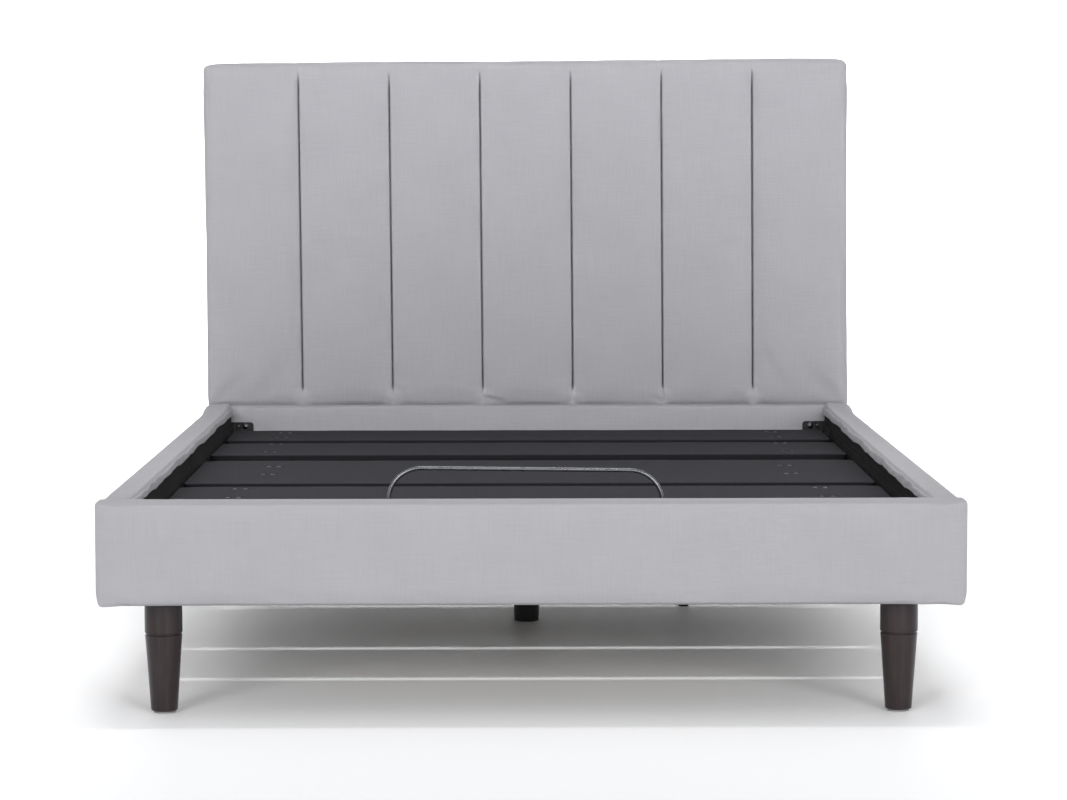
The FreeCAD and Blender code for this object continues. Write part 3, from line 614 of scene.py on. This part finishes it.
def tuck_foot(points, pad):
    """Tucks the front in above the rail, less below the seams, with pinches and small folds there."""
    tuck_top = pad.seam_low + TUCK_ABOVE_SEAM
    under = np.clip((tuck_top - pad.z) / (tuck_top - RAIL_TOP), 0.0, 1.0)
    uneven = 1 + 0.16 * np.sin(pad.x * 13.0 + 0.7) + 0.10 * np.sin(pad.x * 31.0 + 2.0)
    round_in = 1 - np.sqrt(1 - under ** 2)
    tuck = TUCK_DEPTH * uneven * round_in * (1 - TUCK_LEFT_OUT * bell(pad.off, TUCK_GAP_HALF))
    points[:, 1] += tuck * pad.front
    pinch = bell(pad.off, PINCH_HALF[0]) * bell(pad.z - RAIL_TOP - PINCH_ABOVE_RAIL, PINCH_HALF[1])
    points[:, 1] -= PINCH_HEIGHT * pinch * pad.front
    for seam, start, end, height, width in FOOT_FOLDS:
        first = (pad.seams[seam] + start[0], pad.seam_low + start[1])
        last = (pad.seams[seam] + end[0], RAIL_TOP + end[1])
        points[:, 1] -= fold(points, first, last, height, width) * pad.front


def ease_top(points, pad):
    """Lowers the top edge a little, unevenly, and more above each seam."""
    near_top = np.clip((pad.z - (pad.high.z - TOP_EASE)) / TOP_EASE, 0.0, 1.0)
    waver = np.sin(pad.x * 5.1 + 0.8) + 0.6 * np.sin(pad.x * 11.7 + 2.1)
    dips = TOP_DIP * bell(pad.off, TOP_DIP_HALF, 1.6)
    points[:, 2] -= near_top * (dips + TOP_WAVER * (1 + waver / 1.6))


def lean(obj):
    """Leans a piece a little to one side above the rail."""
    points = points_of(obj.data)
    rise = np.maximum(points[:, 2] - RAIL_TOP, 0.0)
    across = points[:, 0].copy()
    points[:, 0] -= LEAN * rise
    points[:, 2] += LEAN * across * np.clip(rise / LEAN_EASE, 0.0, 1.0)
    move_points(obj, points)


def headboard():
    """Channel-tufted headboard pad, swollen between its held seams."""
    pad = Pad()
    points, faces = pad.shell()
    press_seams(points, pad)
    tuck_foot(points, pad)
    ease_top(points, pad)
    obj = new_object("headboard_padding", points, faces)
    settle_cloth(obj, pad.held(points), pressure=1.4, slack=0.001, cap=3.5 * MM, bend=6.0, stiff=25.0)
    lean(obj)
    finish_fabric(obj, "headboard_upholstery", "light_fabric", body="bedstead")


# ---------------------------------------------------------------- rails

FLAP_HEIGHT = 22 * MM
FLAP_ROWS = 12
FLAP_COLUMN = 4 * MM
FLAP_PUFF = 2.7 * MM
FLAP_DROOP = 1.6 * MM
FLAP_ROLL = 0.12             # share of its height in which a flap puffs out
FLAP_ROOT = 0.05             # share of its height that is drawn in at the top
FLAP_PLEAT = 0.5 * MM
FLAP_SUNK = 1.0 * MM
FLAP_NARROW = 9 * MM
FLAP_NARROW_RUN = 170 * MM
FLAP_CUT = {"left": 4.5 * MM, "right": 3.5 * MM}   # taken off the height of the side rails' flaps
# waves along a flap as (amplitude, run of one radian, phase)
EDGE_WAVES = ((1.7 * MM, 37 * MM, 0.0), (0.595 * MM, 13.7 * MM, 1.3), (1.19 * MM, 85 * MM, 0.4))
CREASE_WAVES = ((1.5 * MM, 61 * MM, 1.0), (1.0 * MM, 23 * MM, 0.0))
PUFF_WAVES = ((0.35, 71 * MM, 0.0), (0.2, 19 * MM, 0.9))


def waves(s, table):
    """Sum of a table's waves at a place along the rail."""
    return sum(height * math.sin(s / run + phase) for height, run, phase in table)


def flap_out(s, t):
    """How far a flap stands off the rail, s along it and t of the way down."""
    puff = FLAP_PUFF * (1 + waves(s, PUFF_WAVES))
    pleat = math.sin(s / (7.5 * MM) + 2.6 * t + 2.0 * math.sin(s / (90 * MM)))
    pleat += 0.8 * math.sin(s / (17 * MM) - 4.0 * t)
    out = puff * (1 - math.exp(-t / FLAP_ROLL)) + FLAP_DROOP * t
    return out + FLAP_PLEAT * pleat * math.sin(math.pi * t) - FLAP_DROOP * math.exp(-t / FLAP_ROOT)


def flap(start, end, inward, top, foot, narrow=0.0):
    """Turned-in fabric edge on a rail's inner face: a puffed, creased band with a scalloped edge."""
    start = Vector(start)
    run = Vector(end) - start
    length = run.length
    run.normalize()
    inward = Vector(inward)
    columns = int(length / FLAP_COLUMN)
    vertices = []
    for column in range(columns + 1):
        s = length * column / columns
        edge = foot + waves(s, EDGE_WAVES) + narrow * math.exp(-(s / FLAP_NARROW_RUN) ** 2)
        crease = top + waves(s, CREASE_WAVES)
        for row in range(FLAP_ROWS + 1):
            t = row / FLAP_ROWS
            out = flap_out(s, t) if row < FLAP_ROWS else -FLAP_SUNK
            place = start + run * s + inward * out
            vertices.append((place.x, place.y, crease + (edge - crease) * t))
    faces = []
    for column in range(columns):
        for row in range(FLAP_ROWS):
            a = column * (FLAP_ROWS + 1) + row
            b = a + FLAP_ROWS + 1
            faces.append((a, a + 1, b + 1, b))
    return new_object("flap", vertices, faces)


BACK_HELD = 8 * MM           # width of the held strip along a rail's hidden face
FOOT_HELD = 10 * MM


def rail(name, node, hold, step, pressure, slack, cap, radius):
    """Padded board: rounded shell inflated as cloth, held where it is stapled."""
    low, high = (np.array(corner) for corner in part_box(node))
    ends = [0.0, radius * 0.3, radius * 0.65, radius]
    points, faces = shell(*(spread(low[axis], high[axis], step, ends) for axis in range(3)))
    points = rounded(points, low, high, radius)
    obj = new_object(name, points, faces)
    settle_cloth(obj, hold(points, low, high), pressure, slack, cap, frames=16)
    return obj


def near_low(values, edge, width):
    """1 near an edge, fading to 0 from half a width to a whole width above it."""
    return np.clip((edge + width - values) / (width * 0.5), 0.0, 1.0)


END_HELD = 3 * MM
END_GRIP = 0.8
FREE_FRONT = 14 * MM         # the foot is held only behind this
CORNER_TUCK = 7 * MM
CORNER_HEIGHT = 26 * MM
CORNER_RUN = 60 * MM
FRONT_SQUEEZE = 0.9945
FRONT_FLAP_DROP = 9 * MM
FRONT_FLAP_INSET = 4 * MM


def shape_ends(obj, low):
    """Draws the front board's ends in: a little all over, more towards its bottom edge."""
    for vertex in obj.data.vertices:
        vertex.co.x *= FRONT_SQUEEZE
        lowest = max(0.0, 1 - (vertex.co.z - low.z) / CORNER_HEIGHT)
        outermost = max(0.0, 1 - (abs(low.x) - abs(vertex.co.x)) / CORNER_RUN)
        vertex.co.x -= math.copysign(CORNER_TUCK * lowest ** 2 * min(1.0, outermost), vertex.co.x)


def front_board():
    """Front board with its padding and the turned-in edge behind it."""

    def hold(points, low, high):
        inner = near_low(-points[:, 1], -high[1], BACK_HELD)
        foot = near_low(points[:, 2], low[2], FOOT_HELD) * (points[:, 1] > low[1] + FREE_FRONT)
        left = near_low(points[:, 0], low[0], END_HELD)
        right = near_low(-points[:, 0], -high[0], END_HELD)
        return np.maximum.reduce([inner, foot, END_GRIP * (left + right)])

    obj = rail("front_board_padding", "front_board_upholstery", hold, step=13 * MM, pressure=1.8,
               slack=0.006, cap=5 * MM, radius=7 * MM)
    low, high = corners_of("front_board_upholstery")
    shape_ends(obj, low)
    left, right = (corner.x for corner in corners_of("rail_linings"))
    top = high.z - FRONT_FLAP_DROP
    join_mesh(obj, flap((left + FRONT_FLAP_INSET, high.y, 0), (right - FRONT_FLAP_INSET, high.y, 0),
                        (0, 1, 0), top, top - FLAP_HEIGHT))
    finish_fabric(obj, "front_board_upholstery", "light_fabric", body="bedstead")


SIDE_HELD = 10 * MM
HEAD_SWELL = 6 * MM
HEAD_SWELL_RUN = 110 * MM
SIDE_FLAP_DROP = 6 * MM


def swell_head_end(obj, low, high, sign):
    """Swells a side rail upwards and outwards where it meets the headboard."""
    for vertex in obj.data.vertices:
        near_head = math.exp(-((high.y - vertex.co.y) / HEAD_SWELL_RUN) ** 2)
        uppermost = max(0.0, (vertex.co.z - low.z) / (high.z - low.z))
        vertex.co.z += HEAD_SWELL * near_head * uppermost ** 3
        outermost = max(0.0, sign * vertex.co.x - abs(low.x + high.x) / 2) / (high.x - low.x)
        vertex.co.x += sign * HEAD_SWELL * near_head * outermost


def side_rail(side, sign):
    """Side rail with its padding and turned-in edge."""
    node = "side_rail_upholstery_" + side

    def hold(points, low, high):
        from_inside = points[:, 0] - low[0] if sign > 0 else high[0] - points[:, 0]
        inner = near_low(from_inside, 0.0, SIDE_HELD)
        return np.maximum(inner, near_low(points[:, 2], low[2], FOOT_HELD))

    obj = rail("side_rail_padding_" + side, node, hold, step=14 * MM, pressure=2.0, slack=0.009,
               cap=6.5 * MM, radius=13 * MM)
    low, high = corners_of(node)
    swell_head_end(obj, low, high, sign)
    inside = low.x if sign > 0 else high.x
    head_end = corners_of("head_rail_upholstery")[0].y
    top = high.z - SIDE_FLAP_DROP
    edge = flap((inside, low.y, 0), (inside, head_end, 0), (-sign, 0, 0), top,
                top - FLAP_HEIGHT + FLAP_CUT[side], FLAP_NARROW)
    if sign > 0:
        edge.data.flip_normals()
    join_mesh(obj, edge)
    finish_fabric(obj, node, "light_fabric", body="bedstead")


HEAD_RAIL_STRETCH = 1.01
HEAD_RAIL_FOOT = 30 * MM


def head_rail():
    """Fabric-wrapped rail in front of the headboard, a little longer than the gap it fills."""

    def hold(points, low, high):
        back = near_low(-points[:, 1], -high[1], BACK_HELD)
        return np.maximum(back, near_low(points[:, 2], low[2], HEAD_RAIL_FOOT))

    obj = rail("head_rail_padding", "head_rail_upholstery", hold, step=13 * MM, pressure=1.4,
               slack=0.004, cap=2.5 * MM, radius=3.5 * MM)
    for vertex in obj.data.vertices:
        vertex.co.x *= HEAD_RAIL_STRETCH
    finish_fabric(obj, "head_rail_upholstery", "light_fabric", body="bedstead")


# ---------------------------------------------------------------- deck covers

DECK_CORNER = 28 * MM
DECK_EDGE = 3.5 * MM
DECK_STEP_X = 17 * MM
DECK_STEP_Y = 11 * MM
DECK_SPACING = [0.0, 0.6 * MM, 1.6 * MM, 3.5 * MM, 6.5 * MM, 11 * MM, 19 * MM, 29 * MM]
REAR_RUN = {"pillow": 34 * MM, "back": 48 * MM, "seat": 48 * MM, "thigh": 40 * MM, "calf": 30 * MM}
REAR_FALL = 0.118
REAR_EASE = 0.06
SIDE_FALL = 1.5 * MM
SIDE_RUN = 22 * MM
FORE_LIFT = {"back": 2.6 * MM, "thigh": 0.8 * MM}
FORE_RUN = 90 * MM
RIPPLE = 0.35 * MM
RIPPLE_FADE = 40 * MM
TOP_GAP = 0.4 * MM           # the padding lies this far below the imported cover's top
BOLT_DIP = 4.6 * MM
BOLT_DIP_HALF = 9.4 * MM
BOLT_PULL = 0.5 * MM
BOLT_PULL_HALF = 17 * MM
BOLT_SPACING = 1.7 * MM
BOLT_PLACES = 9              # close places on each side of a bolt
BOLT_SIZE = 10 * MM          # more than a bolt's width, less than the gap between two
BOLT_FROM_EDGE = 30 * MM
FINE_APART = 1.2 * MM        # the least gap between two close places
COARSE_APART = 2.5 * MM      # and between a close place and another
SKIRT = ((0.45, 0.0), (1.0, 0.4 * MM), (0.98, 3.4 * MM), (0.4, 3.6 * MM))   # share down, way in


def bolt_centres(section):
    """Centres of one section's bolts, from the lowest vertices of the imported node."""
    points = points_of(frame["nodes"][section + "_screws"].data)
    points = points[points[:, 2] < points[:, 2].min() + 0.1 * MM]
    centres = []
    while len(points):
        near = np.hypot(points[:, 0] - points[0, 0], points[:, 1] - points[0, 1]) < BOLT_SIZE
        shank = points[near]
        centres.append((shank.min(axis=0) + shank.max(axis=0))[:2] / 2)
        points = points[~near]
    return np.array(centres)


def with_fine(places, centres):
    """Grid places with closer ones added around the bolt centres."""
    inside = (places[0] + BOLT_FROM_EDGE, places[-1] - BOLT_FROM_EDGE)
    fine = []
    for centre in sorted(set(np.round(centres, 4))):
        fine += [centre + step * BOLT_SPACING for step in range(-BOLT_PLACES, BOLT_PLACES + 1)]
    kept = []
    for place in sorted(f for f in fine if inside[0] < f < inside[1]):
        if not kept or place - kept[-1] > FINE_APART:
            kept.append(place)
    coarse = [v for v in places if all(abs(v - f) > COARSE_APART for f in kept)]
    return np.array(sorted(coarse + kept))


def plan_corner(x, y, half, foot, head):
    """Pulls a rectangular grid's corners onto rounded ones in plan."""
    inner_x = np.clip(x, -half + DECK_CORNER, half - DECK_CORNER)
    inner_y = np.clip(y, foot + DECK_CORNER, head - DECK_CORNER)
    out_x = x - inner_x
    out_y = y - inner_y
    reach = np.maximum(np.abs(out_x), np.abs(out_y))
    length = np.hypot(out_x, out_y)
    length[length == 0] = 1.0
    return inner_x + out_x * reach / length, inner_y + out_y * reach / length


def deck_height(x, y, section, low, high, bolts):
    """Height of a cover's top: rounded edge, lower rear and sides, faint ripples, dips at the bolts."""
    from_side = np.minimum(x + high.x, high.x - x)
    inset = np.minimum.reduce([from_side, y - low.y, high.y - y])
    edge = np.clip(DECK_EDGE - inset, 0.0, DECK_EDGE)
    z = high.z - (DECK_EDGE - np.sqrt(DECK_EDGE ** 2 - edge ** 2))
    run = REAR_RUN[section]
    rear = np.clip((run - (high.y - y)) / run, 0.0, 1.0)
    z -= REAR_FALL * run * (np.hypot(rear, REAR_EASE) - REAR_EASE)
    z -= SIDE_FALL * bell(from_side, SIDE_RUN)
    ripple = RIPPLE * np.sin(x * 9.0 + y * 13.0) * np.sin(x * 23.0 - y * 7.0)
    z += ripple * np.clip(inset / RIPPLE_FADE, 0.0, 1.0) - TOP_GAP
    z += FORE_LIFT.get(section, 0.0) * bell(y - low.y, FORE_RUN)
    for bolt_x, bolt_y in bolts:
        away = np.hypot(x - bolt_x, y - bolt_y)
        z -= BOLT_DIP * bell(away, BOLT_DIP_HALF, 6) + BOLT_PULL * bell(away, BOLT_PULL_HALF)
    return z


def add_skirt(vertices, faces, rim, low, high):
    """Runs rings of faces down from a cover's rim and in under its board."""
    centre = Vector((0, (low.y + high.y) / 2, 0))
    previous = rim
    for drop, pull in SKIRT:
        ring = []
        for place in rim:
            x, y, z = vertices[place]
            shift = (Vector((x, y, 0)) - centre).normalized() * pull
            ring.append(len(vertices))
            vertices.append([x - shift.x, y - shift.y, z + (low.z - z) * drop])
        for k in range(len(rim)):
            n = (k + 1) % len(rim)
            faces.append((previous[k], ring[k], ring[n], previous[n]))
        previous = ring


def deck_cover(section, body):
    """Padded cover of one deck board, with its skirt."""
    low, high = corners_of(section + "_cover")
    bolts = bolt_centres(section)
    xs = with_fine(spread(-high.x, high.x, DECK_STEP_X, DECK_SPACING), bolts[:, 0])
    ys = with_fine(spread(low.y, high.y, DECK_STEP_Y, DECK_SPACING), bolts[:, 1])
    x, y = np.meshgrid(xs, ys, indexing="ij")
    z = deck_height(x, y, section, low, high, bolts)
    plan_x, plan_y = plan_corner(x, y, high.x, low.y, high.y)
    vertices = np.stack([plan_x, plan_y, z], axis=2).reshape(-1, 3).tolist()
    last_x = len(xs) - 1
    last_y = len(ys) - 1

    def top(i, j):
        return i * len(ys) + j

    faces = [(top(i, j), top(i + 1, j), top(i + 1, j + 1), top(i, j + 1))
             for i in range(last_x) for j in range(last_y)]
    rim = [top(i, 0) for i in range(last_x)]
    rim += [top(last_x, j) for j in range(last_y)]
    rim += [top(i, last_y) for i in range(last_x, 0, -1)]
    rim += [top(0, j) for j in range(last_y, 0, -1)]
    add_skirt(vertices, faces, rim, low, high)
    obj = new_object(section + "_padding", vertices, faces)
    finish_fabric(obj, section + "_cover", "deck_fabric", body=body, smooth=False)


# ---------------------------------------------------------------- camera, floor, light

LENS = 102.13
SENSOR = 36.0
CAMERA_ACROSS = -0.023
CAMERA_BACK = 5.720          # from the foot end
CAMERA_HEIGHT = 1.102
CAMERA_DOWN = math.radians(4.858)
CAMERA_TURN = math.radians(-0.273)
CAMERA_ROLL = math.radians(-0.097)


def camera():
    """Long lens in front of the foot end, a little above the headboard's middle."""
    data = bpy.data.cameras.new("camera")
    data.lens = LENS
    data.sensor_width = SENSOR
    data.clip_end = 60.0
    obj = bpy.data.objects.new("camera", data)
    bpy.context.scene.collection.objects.link(obj)
    look = Euler((math.radians(90) - CAMERA_DOWN, 0.0, CAMERA_TURN)).to_matrix().to_4x4()
    place = Matrix.Translation((CAMERA_ACROSS, FOOT_END - CAMERA_BACK, CAMERA_HEIGHT))
    obj.matrix_world = place @ look @ Matrix.Rotation(CAMERA_ROLL, 4, "Z")
    bpy.context.scene.camera = obj


FLOOR_HALF_WIDTH = 16.0
FLOOR_FRONT = -14.0
BEND_START = 11.8
BEND_RADIUS = 1.6
BEND_STEPS = 12
BACKDROP_TOP = 7.0


def floor():
    """Plain white studio floor that runs up into a backdrop."""
    profile = [(FLOOR_FRONT, 0.0), (BEND_START, 0.0)]
    for step in range(1, BEND_STEPS + 1):
        turn = math.radians(90 * step / BEND_STEPS)
        profile.append((BEND_START + BEND_RADIUS * math.sin(turn), BEND_RADIUS * (1 - math.cos(turn))))
    profile.append((BEND_START + BEND_RADIUS, BACKDROP_TOP))
    vertices = [(x, y, z) for x in (-FLOOR_HALF_WIDTH, FLOOR_HALF_WIDTH) for y, z in profile]
    count = len(profile)
    faces = [(k, k + count, k + count + 1, k + 1) for k in range(count - 1)]
    obj = new_object("studio_floor", vertices, faces)
    m = Nodes("studio_white", roughness=0.6, specular=0.3)
    patches = m.noise(m.place(), scale=1.5, detail=2.0)
    m.colour(m.tint((0.93, 0.93, 0.935), m.plus(m.times(patches, 0.02), 0.99)))
    obj.data.materials.append(m.material)


NO_GRID = 180
# name, place, target, width and height, watts, spread in degrees
PANELS = (
    ("overhead", (0.0, -0.3, 5.2), (0.0, -0.3, 0.0), (3.2, 0.3), 7.0, 36),
    ("front_left", (-4.2, -9.5, 3.4), (0.0, 0.6, 0.8), (3.2, 3.0), 384.0, NO_GRID),
    ("front_right", (4.4, -9.2, 3.0), (0.0, 0.6, 0.7), (3.2, 3.0), 374.0, NO_GRID),
    ("headboard", (0.0, -9.0, 3.0), (0.0, 1.0, 2.1), (4.0, 1.6), 19.8, 26),
    ("backdrop", (0.0, 7.0, 5.4), (0.0, 10.6, 0.0), (14.0, 3.0), 1500.0, NO_GRID),
)
SKY_COLOUR = (0.98, 0.99, 1.0, 1.0)
SKY_STRENGTH = 0.75


def studio():
    """White surroundings, and the panels: overhead, at the front, and one for the backdrop."""
    scene = bpy.context.scene
    scene.view_settings.view_transform = "Standard"
    world = bpy.data.worlds.new("studio")
    world.use_nodes = True
    background = world.node_tree.nodes["Background"]
    background.inputs["Color"].default_value = SKY_COLOUR
    background.inputs["Strength"].default_value = SKY_STRENGTH
    scene.world = world
    for name, place, target, size, watts, spread_angle in PANELS:
        data = bpy.data.lights.new(name, "AREA")
        data.shape = "RECTANGLE"
        data.size, data.size_y = size
        data.energy = watts
        data.spread = math.radians(spread_angle)
        obj = bpy.data.objects.new(name, data)
        obj.location = place
        obj.rotation_euler = (Vector(target) - Vector(place)).to_track_quat("-Z", "Y").to_euler()
        scene.collection.objects.link(obj)


# ---------------------------------------------------------------- build

dress_nodes()
camera()
floor()
studio()
headboard()
front_board()
side_rail("right", 1)
side_rail("left", -1)
head_rail()
for section, body in (("pillow", "pillow"), ("back", "back"), ("seat", "bedstead"),
                      ("thigh", "thigh"), ("calf", "calf")):
    deck_cover(section, body)
